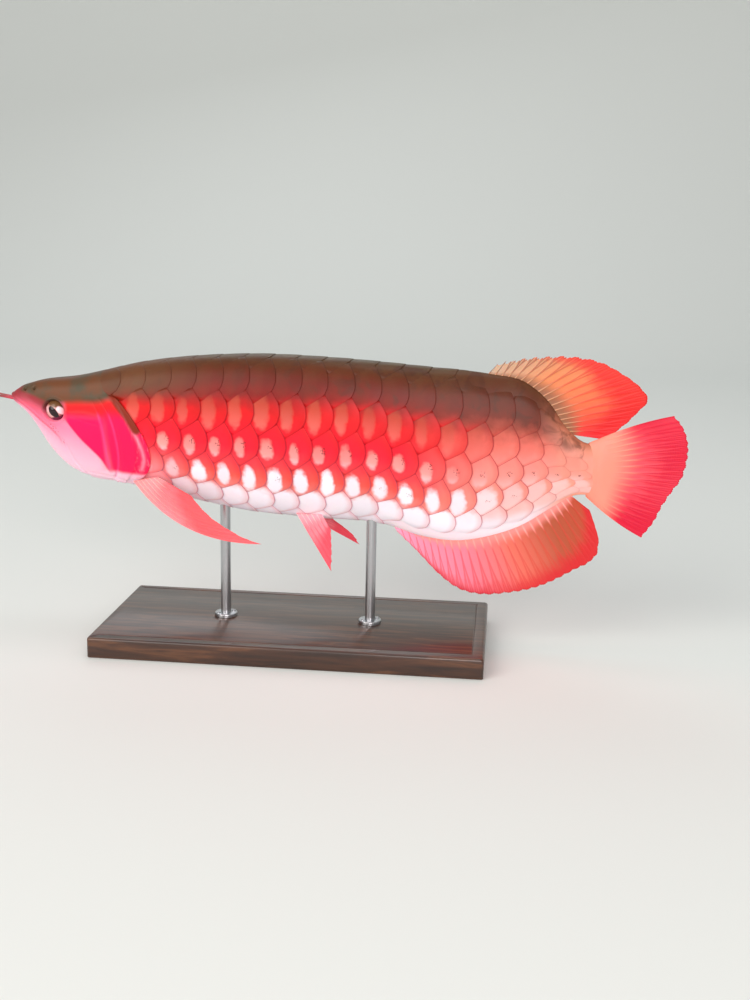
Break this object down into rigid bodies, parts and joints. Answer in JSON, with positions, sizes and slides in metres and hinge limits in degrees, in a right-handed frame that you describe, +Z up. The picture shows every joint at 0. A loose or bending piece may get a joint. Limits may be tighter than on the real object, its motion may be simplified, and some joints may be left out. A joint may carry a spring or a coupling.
{
  "type": "asian arowana, still model on a display stand",
  "caption": "Life-size still model of a red Asian arowana, level and facing -X, held by two rods on a flat base.",
  "frame": {"origin": "on the floor, under the middle of the model's length", "axes": "+X runs from the snout back to the tail, +Y to the fish's right flank, +Z up"},
  "size_m": [0.5512, 0.14, 0.2325],
  "materials": {
    "body_skin": "satin, painted red scales over a cast body",
    "head_skin": "satin, painted magenta and pink head",
    "fin_membrane": "satin, thin cast fins with fine rays",
    "eye_glass": "polished",
    "base_wood": "satin varnish",
    "rod_steel": "brushed"
  },
  "bodies": {
    "root": {"head": "head_skin", "lower_jaw": "head_skin", "gill_cover_left": "head_skin", "gill_cover_right": "head_skin", "torso": "body_skin", "tail": "body_skin", "dorsal_fin": "fin_membrane", "anal_fin": "fin_membrane", "caudal_fin": "fin_membrane", "pectoral_fin_left": "fin_membrane", "pectoral_fin_right": "fin_membrane", "pelvic_fin_left": "fin_membrane", "pelvic_fin_right": "fin_membrane", "eye_left": "eye_glass", "eye_right": "eye_glass", "barbel_left": "head_skin", "barbel_right": "head_skin", "stand_base": "base_wood", "stand_rod_front": "rod_steel", "stand_rod_rear": "rod_steel"}
  },
  "joints": []
}
